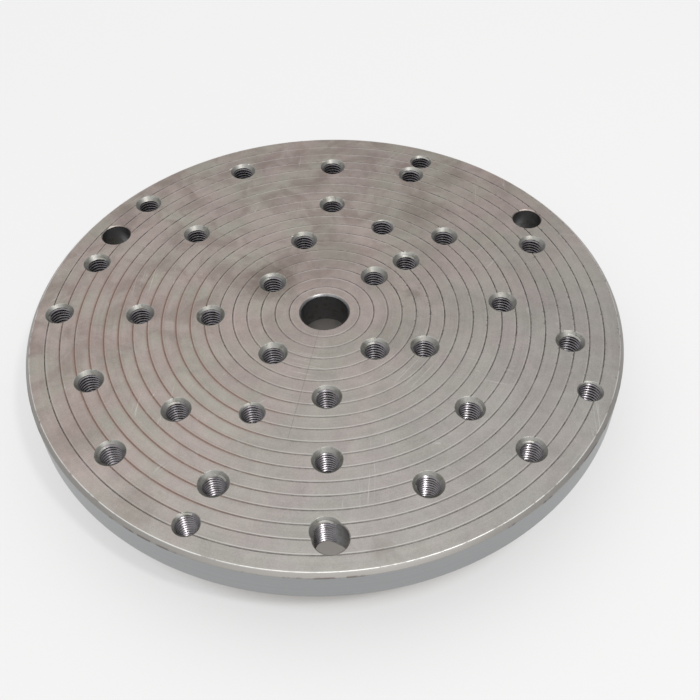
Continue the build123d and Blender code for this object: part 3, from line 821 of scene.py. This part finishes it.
class TABLE_OT_base(bpy.types.Operator):
    """Builds the low casting with its lugs, its lock boss and its machined seats"""

    bl_idname = "rotary_table.base"
    bl_label = "Base"

    def execute(self, context):
        base = context.scene.base_settings
        low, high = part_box("base")
        top = high[2] / MM
        seal_low, seal_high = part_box("dust_seal")
        seat = (seal_high[0] / MM - 4.0, seal_high[0] / MM + 0.02, seal_low[2] / MM)
        cast, machined = base.edge / MM, base.small_edge / MM
        outer, inner = 86.0, 74.6
        corners = [(44.0, 0, machined), (outer, 0, machined), (outer, top, cast), (seat[1], top, machined)]
        corners += [(seat[1], seat[2], 0.1), (seat[0], seat[2], 0.1)]
        corners += [(seat[0], top, machined), (inner, top, machined)]
        corners += [(inner, 5.0, 2.0), (55.5, 5.0, 2.0), (55.5, 15.0, machined), (39.4, 15.0, 0.2)]
        corners += [(39.4, 19.4, machined), (33.6, 19.4, machined), (33.6, 17.4, machined), (36.0, 17.4, 0.1)]
        corners += [(36.0, 2.0, machined), (44.0, 2.0, 0.1)]
        piece = gathered("cast_base", [lambda first: revolve(eased(corners), 360, (0.0, 0.0), first)])
        bolts = rings_at("base", 9.0)
        bolts = [ring for ring in bolts if ring[2] < 5]
        if len(bolts) != 3:
            raise RuntimeError("the base's bolt holes weren't found in the packed model")
        for x, y, _ in bolts:
            cut(piece, self.lug(x, y, 9.0, cast), "UNION")
        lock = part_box("lock_pad")
        angle = math.degrees(math.atan2(lock[0][1] + lock[1][1], lock[0][0] + lock[1][0]))
        level = (lock[0][2] + lock[1][2]) / 2 / MM
        boss = turned((0, 78, 0), (8.5, 78, 0), (8.5, outer + 6, cast), (0, outer + 6, 0))
        cut(piece, lying("boss", [boss], angle, level), "UNION")
        ends = ((0, 70, 0), (4.05, 70, 0), (4.05, outer + 5.3, 0), (5.0, outer + 6.2, 0), (0, outer + 6.2, 0))
        cut(piece, lying("lock_bore", [turned(*ends)], angle, level))
        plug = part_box("grease_plug")
        angle = math.degrees(math.atan2(plug[0][1] + plug[1][1], plug[0][0] + plug[1][0]))
        level = (plug[0][2] + plug[1][2]) / 2 / MM
        cut(piece, drilled("plug_seat", 5.02, outer - 0.6, outer + 3, angle, level))
        cut(piece, drilled("plug_bore", 3.02, 70, outer + 1, angle, level))
        holes = [drill_cut(x, y, size, -1, 10, 0.4, 9.0) for x, y, size in bolts]
        screws = [ring for ring in rings_at("base", 2.0) if ring[2] < 3]
        holes += [drill_cut(x, y, size, -1, 8.5) for x, y, size in screws]
        cut(piece, gathered("bolt_holes", holes))
        shade(piece)
        piece.data.materials.clear()
        piece.data.materials.append(painted_iron(base))
        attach(piece, "base")
        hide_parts("base")
        return {"FINISHED"}

    @staticmethod
    def lug(x, y, height, ease):
        """A tapering tongue out of the base's rim, rounded about its bolt."""
        reach, angle = math.hypot(x, y), math.atan2(y, x)
        tip, root, half = 8.0, 51.0, 17.0
        away = math.hypot(reach - root, half)
        lean = math.atan2(half, reach - root) - math.asin(tip / away)
        slope = math.pi / 2 - lean
        touch = Vector((reach + tip * math.cos(slope), tip * math.sin(slope)))
        inside = 79.0
        width = touch.y + (touch.x - inside) * math.tan(lean)
        outline = [(inside, -width)]
        outline += [(reach + tip * math.cos(a), tip * math.sin(a)) for a in np.linspace(-slope, slope, 40)]
        outline += [(inside, width)]
        layers = [(0.0, 0.0), (0.0, height - ease), (0.29 * ease, height - 0.29 * ease), (ease, height)]
        centre = Vector((reach - 6.0, 0.0))
        points, faces = [], []
        for inset, level in layers:
            for u, v in outline:
                shrink = Vector((u, v)) - centre
                shrink *= 1 - inset / max(shrink.length, 1.0)
                u, v = (centre + shrink) if u > inside else (u, v * (1 - inset / width))
                across = u * math.cos(angle) - v * math.sin(angle)
                points.append((across, u * math.sin(angle) + v * math.cos(angle), level))
        count = len(outline)
        for row in range(len(layers) - 1):
            for i in range(count):
                j = (i + 1) % count
                faces.append([row * count + i, row * count + j, (row + 1) * count + j, (row + 1) * count + i])
        faces.append(list(reversed(range(count))))
        faces.append([(len(layers) - 1) * count + i for i in range(count)])
        return linked("lug", mesh_in_mm("lug", points, faces))


class TABLE_OT_lock(bpy.types.Operator):
    """Builds the lock's threaded screw and its moulded knob"""

    bl_idname = "rotary_table.lock"
    bl_label = "Lock"

    def execute(self, context):
        base = context.scene.base_settings
        low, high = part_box("lock_screw")
        middle = (Vector(low) + Vector(high)) / 2 / MM
        angle = math.degrees(math.atan2(middle.y, middle.x))
        reach = math.hypot(middle.x, middle.y)
        radius = (high[2] - low[2]) / MM / 2
        spread = (high[0] - low[0]) / MM
        course = math.radians(angle)
        half = (spread - 2 * radius * abs(math.sin(course))) / abs(math.cos(course)) / 2
        start, end = reach - half, reach + half
        pitch = 1.25
        turns = math.ceil(2 * half / pitch) + 3
        screw = lying(
            "lock_screw_thread",
            [lambda first: tap((0.0, 0.0), start - 3, turns, radius - 0.7, radius - 0.02, pitch, 40, first)],
            angle,
            middle.z,
        )
        envelope = turned((0, start, 0), (radius, start, 0.8), (radius, end, 0.8), (0, end, 0))
        cut(screw, lying("envelope", [envelope], angle, middle.z), "INTERSECT")
        shade(screw)
        screw.data.materials.clear()
        screw.data.materials.append(turned_steel("screw_steel", (0.42, 0.42, 0.43), 0.3))
        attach(screw, "lock_handle")
        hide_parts("lock_screw")

        bush_low, bush_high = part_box("knob_bush")
        bush_radius = (bush_high[2] - bush_low[2]) / MM / 2
        outer = base.knob_radius / MM
        lean = math.radians(angle)
        face = (bush_high[0] / MM - bush_radius * abs(math.sin(lean))) / abs(math.cos(lean))
        length, pocket = 12.0, 9.0
        foot = face - pocket
        knob = lying("star_knob", [lambda first: self.star(outer, foot, length, first)], angle, middle.z)
        cut(knob, drilled("pocket", bush_radius + 0.02, foot - 1.0, face, angle, middle.z))
        shade(knob, 40.0)
        knob.data.materials.clear()
        knob.data.materials.append(dull("moulded_plastic", tuple(base.knob_colour), 0.44, 1.8, 0.03))
        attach(knob, "lock_handle")
        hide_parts("lock_knob")
        return {"FINISHED"}

    @staticmethod
    def star(outer, foot, length, first):
        """Points and faces of a six-lobed knob with rounded lobes, a crowned end and a cap set into it."""
        count, lobes, bite = 192, 6, 3.2
        turn = np.arange(count) * 2 * math.pi / count
        away = (turn + math.pi / lobes) % (2 * math.pi / lobes) - math.pi / lobes
        hollow = outer + bite / 2
        inside = np.maximum(bite**2 - (hollow * np.sin(away)) ** 2, 0.0)
        radius = np.where(inside > 0, np.minimum(outer, hollow * np.cos(away) - np.sqrt(inside)), outer)
        soft = sum(np.roll(radius, k) for k in range(-3, 4)) / 7
        body = ((0.0, 0.7), (0.25, 0.2), (0.8, 0.0), (length - 3.0, 0.0))
        body += ((length - 1.7, 0.3), (length - 0.8, 1.0), (length - 0.25, 2.1), (length, 3.6))
        cap = ((length, 5.3), (length - 0.35, 5.1), (length - 0.35, 4.8), (length - 0.05, 4.5))
        rings = [(height, soft - inset) for height, inset in body]
        rings += [(height, np.full(count, size)) for height, size in cap]
        points = [(0.0, 0.0, foot)]
        for height, size in rings:
            points += list(zip(size * np.cos(turn), size * np.sin(turn), np.full(count, foot + height)))
        points.append((0.0, 0.0, foot + length - 0.05))
        faces = []
        for i in range(count):
            j = (i + 1) % count
            faces.append([0, 1 + j, 1 + i])
            for row in range(len(rings) - 1):
                a, b = 1 + row * count, 1 + (row + 1) * count
                faces.append([a + i, a + j, b + j, b + i])
            last = 1 + (len(rings) - 1) * count
            faces.append([last + i, last + j, len(points) - 1])
        return points, [[first + v for v in face] for face in faces]


class TABLE_OT_underworks(bpy.types.Operator):
    """Gives the base, the bearings, the fixings and the lock their finishes"""

    bl_idname = "rotary_table.underworks"
    bl_label = "Base, bearings and lock"

    def execute(self, context):
        base = context.scene.base_settings
        finishes = {
            "turned": turned_steel("turned_steel", (0.50, 0.50, 0.505), 0.32),
            # the cover is dark so that the bore above it reads dark: painted shade
            "cover": turned_steel("cover_steel", (0.17, 0.17, 0.175), 0.42),
            "bright": turned_steel("bearing_steel", (0.66, 0.67, 0.69), 0.14, 6.0, 5.0),
            "black": dull("black_oxide", (0.045, 0.045, 0.05), 0.38, 2.5, 0.006, 0.7),
            "rubber": dull("nitrile_rubber", (0.028, 0.028, 0.030), 0.72, 3.0, 0.02),
            "fibre": dull("gasket_fibre", (0.24, 0.21, 0.16), 0.85, 1.6, 0.04),
            "brass": turned_steel("turned_brass", (0.66, 0.47, 0.20), 0.28, 4.0, 3.0),
        }
        worn = {
            "turned": ("hub", "needle_cage", "tab_washer", "cover_screws"),
            "cover": ("bottom_cover",),
            "bright": (
                "hub_dowels", "thrust_washer_upper", "thrust_washer_lower", "thrust_needles",
                "bearing_inner_race", "bearing_outer_race", "bearing_balls",
            ),
            "black": ("hub_screws", "ring_nut"),
            "rubber": ("bearing_seals", "dust_seal"),
            "fibre": ("cover_gasket",),
            "brass": ("ball_cage", "grease_plug", "lock_pad", "knob_bush"),
        }
        for finish, nodes in worn.items():
            for node in nodes:
                painted(node, finishes[finish])
        for hidden in ("table_plate", "base", "lock_screw", "lock_knob"):
            painted(hidden, finishes["turned"])
        return {"FINISHED"}


class TABLE_OT_stage(bpy.types.Operator):
    """Sets the camera, the floor and the lamps"""

    bl_idname = "rotary_table.stage"
    bl_label = "Stage"

    def execute(self, context):
        stage = context.scene.stage_settings
        scene = context.scene
        scene.view_settings.view_transform = "Standard"
        face = Vector((0.0, 0.0, TABLE_TOP * MM))

        camera = bpy.data.objects.new("camera", bpy.data.cameras.new("camera"))
        scene.collection.objects.link(camera)
        camera.data.lens = stage.lens
        camera.data.sensor_width = 36.0
        camera.data.clip_start, camera.data.clip_end = 0.01, 20.0
        place = face + Vector(stage.camera_place)
        aim = face + Vector(stage.camera_aim)
        look = (aim - place).to_track_quat("-Z", "Y").to_matrix().to_4x4()
        roll = Matrix.Rotation(stage.camera_roll, 4, "Z")
        camera.matrix_world = Matrix.Translation(place) @ look @ roll
        scene.camera = camera

        size = 3.0
        corners = [(-size, -size, 0), (size, -size, 0), (size, size, 0), (-size, size, 0)]
        mesh = bpy.data.meshes.new("floor")
        mesh.from_pydata(corners, [], [(0, 1, 2, 3)])
        floor = linked("floor", mesh)
        board = Board("pale_floor")
        # painted shadow: the floor's glow turns dim and tan in a disc under the plate
        lit = board.fade(board.vector("LENGTH", board.flat), 107.0, 118.0)
        pale = board.finish(
            Base_Color=tuple(stage.floor_colour),
            Roughness=0.9,
            Emission_Color=board.mix(lit, (0.40, 0.365, 0.33), (1.0, 1.0, 1.0)),
            Emission_Strength=stage.floor_glow,
        )
        floor.data.materials.append(pale)

        world = bpy.data.worlds.new("room")
        scene.world = world
        room = Board(world)
        across, ahead, height = [
            room.node("SeparateXYZ", {}, {0: room.node("TexCoord", output="Generated")}, axis)
            for axis in range(3)
        ]
        light = stage.room_light + room.fade(height, 0.5, 1.0) * stage.ceiling_light
        light = light + room.fade(ahead, -0.4, -0.9) * room.fade(height, 0.0, 0.3) * stage.front_light
        light = light + room.fade(across, 0.6, -0.6) * room.fade(height, 0.3, 0.6) * stage.left_light
        sky = room.node("Background", {}, {"Color": (1.0, 1.0, 1.0, 1.0), "Strength": light})
        room.node("OutputWorld", {}, {"Surface": sky}, None)

        self.lamp("key", (0.44, -0.64, 1.2), 0.12, stage.key_power, (1.0, 0.99, 0.98))
        return {"FINISHED"}

    @staticmethod
    def lamp(name, place, size, power, colour):
        lamp = bpy.data.lights.new(name, "AREA")
        lamp.shape = "DISK"
        lamp.size = size
        lamp.energy = power
        lamp.color = colour
        holder = bpy.data.objects.new(name, lamp)
        bpy.context.scene.collection.objects.link(holder)
        away = Vector(place)
        turn = away.to_track_quat("Z", "Y").to_matrix().to_4x4()
        holder.matrix_world = Matrix.Translation(away) @ turn


class TABLE_PT_sidebar(bpy.types.Panel):
    """Lists the steps that build the table"""

    bl_idname = "TABLE_PT_sidebar"
    bl_label = "Rotary table"
    bl_space_type = "VIEW_3D"
    bl_region_type = "UI"
    bl_category = "Rotary table"

    def draw(self, context):
        for operator in OPERATORS:
            self.layout.operator(operator.bl_idname)
        for name in GROUPS:
            settings = getattr(context.scene, name)
            box = self.layout.box()
            for key in settings.__annotations__:
                box.prop(settings, key)


OPERATORS = (TABLE_OT_plate, TABLE_OT_base, TABLE_OT_lock, TABLE_OT_underworks, TABLE_OT_stage)
GROUPS = {"plate_settings": PlateSettings, "base_settings": BaseSettings, "stage_settings": StageSettings}


def register():
    for kind in (*GROUPS.values(), *OPERATORS, TABLE_PT_sidebar):
        bpy.utils.register_class(kind)
    for name, group in GROUPS.items():
        setattr(bpy.types.Scene, name, bpy.props.PointerProperty(type=group))


def unregister():
    for name in GROUPS:
        delattr(bpy.types.Scene, name)
    for kind in reversed((*GROUPS.values(), *OPERATORS, TABLE_PT_sidebar)):
        bpy.utils.unregister_class(kind)


def main():
    register()
    bpy.ops.rotary_table.plate()
    bpy.ops.rotary_table.base()
    bpy.ops.rotary_table.lock()
    bpy.ops.rotary_table.underworks()
    bpy.ops.rotary_table.stage()


if __name__ == "__main__":
    main()
